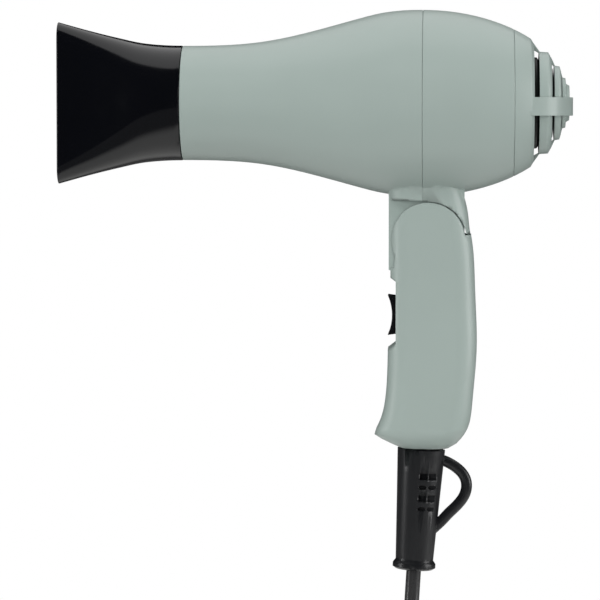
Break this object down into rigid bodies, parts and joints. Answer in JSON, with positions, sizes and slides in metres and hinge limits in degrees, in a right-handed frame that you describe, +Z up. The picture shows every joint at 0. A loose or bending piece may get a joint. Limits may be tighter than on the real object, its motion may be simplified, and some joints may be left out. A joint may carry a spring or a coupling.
{
  "type": "travel hair dryer",
  "caption": "Compact hair dryer with a folding handle, flared barrel, turning concentrator nozzle, ringed inlet cap, rocker switch and a corded strain relief with a hanging loop.",
  "frame": {"origin": "middle of the handle's grip, where a hand or a holder takes it", "axes": "+Z up along the handle, -X the way the nozzle blows, Y across the handle"},
  "size_m": [0.2327, 0.1471, 0.2956],
  "materials": {
    "shell": "satin moulded",
    "nozzle": "gloss",
    "switch_black": "satin gloss",
    "relief_rubber": "satin",
    "cord_sheath": "satin",
    "plug_plastic": "satin",
    "tie": "satin",
    "nickel": "nickel plated",
    "steel": "zinc plated",
    "brass": "bright",
    "nylon": "natural",
    "dark_plastic": "moulded",
    "mica": "laminated",
    "heater_wire": "oxidised",
    "ferrite": "sintered",
    "component": "moulded",
    "board": "laminated",
    "lead_wire": "extruded"
  },
  "bodies": {
    "handle": {"handle_left": "shell", "handle_right": "shell", "handle_screws": "steel", "hinge_washers": "nylon", "detent_spring": "steel", "switch_case": "switch_black", "switch_terminals": "brass", "strain_relief": "relief_rubber", "cord_clamp": "nylon", "clamp_screws": "steel", "cord_sheath": "cord_sheath", "handle_leads": "lead_wire", "cord_lead": "cord_sheath", "cord_tail": "cord_sheath", "cord_coil": "cord_sheath", "cord_tie": "tie", "plug_body": "plug_plastic", "plug_pins": "nickel"},
    "barrel": {"front_housing": "shell", "rear_housing": "shell", "inlet_cap": "shell", "inlet_screen": "dark_plastic", "outlet_grille": "dark_plastic", "mica_sleeve": "mica", "mica_board_flat": "mica", "mica_board_upright": "mica", "heating_coil_high": "heater_wire", "heating_coil_low": "heater_wire", "thermostat": "component", "thermal_fuse": "component", "air_guide": "dark_plastic", "motor_can": "steel", "motor_end_cap": "nylon", "brush_terminals": "brass", "motor_bushes": "brass", "motor_magnets": "ferrite", "rectifier_board": "board", "rectifier_diodes": "component", "barrel_leads": "lead_wire"},
    "nozzle": {"concentrator_nozzle": "nozzle"},
    "rocker": {"rocker": "switch_black"},
    "rotor": {"motor_shaft": "steel", "motor_armature": "ferrite", "fan_impeller": "dark_plastic", "fan_clip": "steel"}
  },
  "joints": [
    {"name": "fold", "type": "hinge", "parent": "handle", "child": "barrel", "pos_m": [-0.002, 0, 0.045], "axis": [0, -1, 0], "range_deg": [0, 90]},
    {"name": "nozzle_turn", "type": "hinge", "parent": "barrel", "child": "nozzle", "pos_m": [-0.12, 0, 0.1018], "axis": [1, 0, 0], "continuous": true},
    {"name": "rocker_tilt", "type": "hinge", "parent": "handle", "child": "rocker", "pos_m": [-0.0116, 0, 0.0133], "axis": [0, 1, 0], "range_deg": [-12, 12]},
    {"name": "fan_spin", "type": "hinge", "parent": "barrel", "child": "rotor", "pos_m": [0, 0, 0.1018], "axis": [1, 0, 0], "continuous": true}
  ]
}
